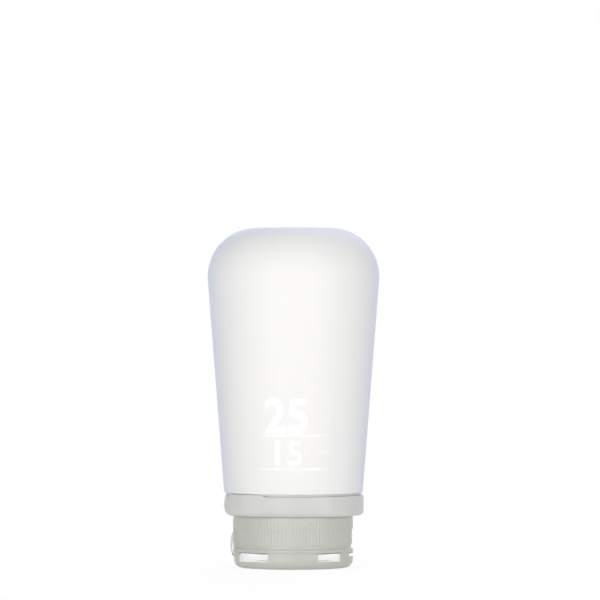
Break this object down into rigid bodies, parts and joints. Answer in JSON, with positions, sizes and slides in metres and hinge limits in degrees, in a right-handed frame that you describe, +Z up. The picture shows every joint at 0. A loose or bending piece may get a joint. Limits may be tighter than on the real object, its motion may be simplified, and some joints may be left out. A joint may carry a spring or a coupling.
{
  "type": "travel silicone bottle",
  "caption": "Soft tapered silicone squeeze tube with a ribbed screw cap, clear flip lid on a living hinge, slit valve and a strap that slides out into a carry loop.",
  "frame": {"origin": "middle of the lid's flat outer face, which the bottle stands on", "axes": "+Z up along the tube from the lid to the base; +X towards the finger lip and the carry loop; -Y is the front"},
  "size_m": [0.0526, 0.0526, 0.1038],
  "materials": {
    "silicone": "frosted milky-clear silicone",
    "collar": "natural polypropylene",
    "strap": "soft natural elastomer, satin",
    "tab": "natural polypropylene, satin",
    "cap": "natural clear polypropylene, moulded ribs",
    "lid": "clear polished polypropylene",
    "valve": "clear silicone"
  },
  "bodies": {
    "tube": {"tube_body": "silicone", "neck_collar": "collar", "strap_band": "strap"},
    "tab": {"slide_tab": "tab"},
    "loop": {"carry_loop": "strap"},
    "gasket": {"cap_gasket": "valve"},
    "cap": {"cap_base": "cap", "lid_hinge_strap": "cap", "slit_valve": "valve", "valve_retainer": "collar"},
    "lid": {"flip_lid": "lid"}
  },
  "joints": [
    {"name": "loop_out", "type": "slide", "parent": "tube", "child": "loop", "axis": [1, 0, 0], "range_m": [0, 0.0125]},
    {"name": "tab_slide", "type": "hinge", "parent": "tube", "child": "tab", "pos_m": [0, 0, 0.0191], "axis": [0, 0, 1], "range_deg": [0, 35]},
    {"name": "cap_lift", "type": "slide", "parent": "tube", "child": "gasket", "axis": [0, 0, -1], "range_m": [0, 0.012]},
    {"name": "cap_turn", "type": "hinge", "parent": "gasket", "child": "cap", "pos_m": [0, 0, 0.007], "axis": [0, 0, -1], "range_deg": [0, 720]},
    {"name": "lid_flip", "type": "hinge", "parent": "cap", "child": "lid", "pos_m": [-0.01845, 0, 0.00468], "axis": [0, 1, 0], "range_deg": [0, 150], "deforming": ["lid_hinge_strap"]}
  ],
  "couplings": [
    {"joint": "tab_slide", "follows": "loop_out", "rad_per_m": 48.869},
    {"joint": "cap_lift", "follows": "cap_turn", "m_per_rad": 0.00095492}
  ]
}
